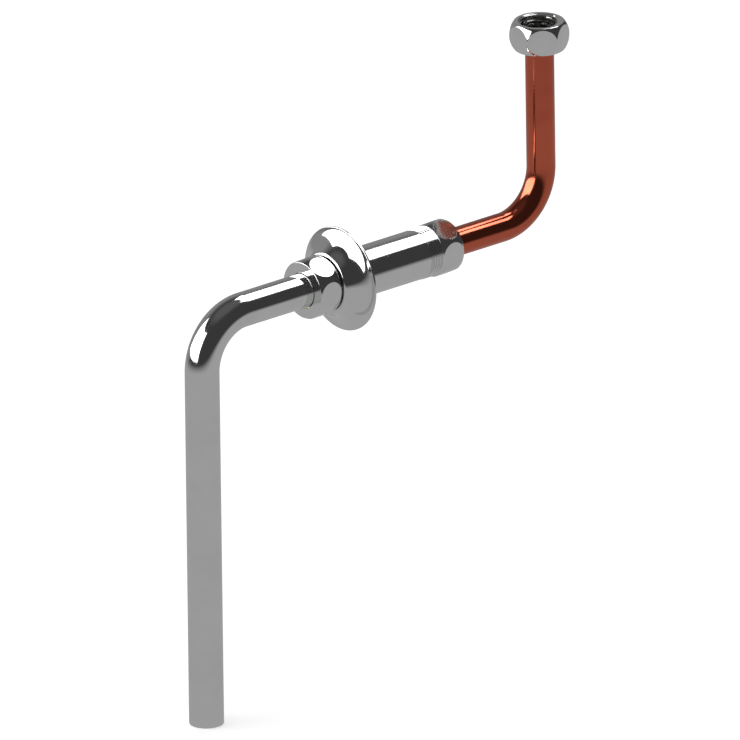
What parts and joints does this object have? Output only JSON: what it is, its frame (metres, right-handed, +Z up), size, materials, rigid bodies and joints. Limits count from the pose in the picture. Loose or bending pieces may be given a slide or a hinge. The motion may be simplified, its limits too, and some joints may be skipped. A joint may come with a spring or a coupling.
{
  "type": "urinal connector pipe",
  "caption": "Bent chromed flush pipe in a wall sleeve with gland nut and sliding rosette; a bent copper pipe behind the wall ends in a captive union nut.",
  "frame": {"origin": "on the centre line of the sleeve's barrel, in the plane of the finished wall, which is the plane of the rosette's rim", "axes": "+Y along the barrel into the wall, +Z up, +X to the right for someone who faces the wall; the chromed leg hangs down in front (-Y) and the copper leg rises behind (+Y)"},
  "size_m": [0.055, 0.2553, 0.3252],
  "materials": {
    "pipe_chrome": "polished plating on a drawn tube",
    "nut_chrome": "polished plating on turned brass",
    "rosette_chrome": "polished plating on pressed sheet",
    "sleeve_chrome": "polished plating on turned brass",
    "drawn_copper": "bright drawn tube",
    "bare_brass": "turned",
    "seal_rubber": "moulded",
    "gasket_fibre": "pressed fibre"
  },
  "bodies": {
    "root": {"wall_sleeve": "sleeve_chrome", "pipe_seal": "seal_rubber", "copper_pipe": "drawn_copper", "inlet_collar": "bare_brass", "flat_gasket": "gasket_fibre"},
    "outlet": {"outlet_pipe": "pipe_chrome"},
    "gland_ring": {"pressure_ring": "bare_brass"},
    "gland_nut": {"gland_nut": "nut_chrome"},
    "rosette": {"rosette": "rosette_chrome"},
    "union_nut": {"union_nut": "nut_chrome"}
  },
  "joints": [
    {"name": "outlet_slide", "type": "slide", "parent": "root", "child": "outlet", "axis": [0, 1, 0], "range_m": [-0.025, 0.0158]},
    {"name": "gland_travel", "type": "slide", "parent": "root", "child": "gland_ring", "axis": [0, -1, 0], "range_m": [0, 0.0064]},
    {"name": "gland_nut_turn", "type": "hinge", "parent": "gland_ring", "child": "gland_nut", "pos_m": [0, -0.0196, 0], "axis": [0, -1, 0], "range_deg": [0, 1260]},
    {"name": "rosette_slide", "type": "slide", "parent": "root", "child": "rosette", "axis": [0, 1, 0], "range_m": [-0.0008, 0.066]},
    {"name": "union_nut_spin", "type": "hinge", "parent": "root", "child": "union_nut", "pos_m": [0, 0.1367, 0.0987], "axis": [0, 0, 1], "continuous": true}
  ],
  "couplings": [
    {"joint": "gland_travel", "follows": "gland_nut_turn", "m_per_rad": 0.00028871}
  ]
}
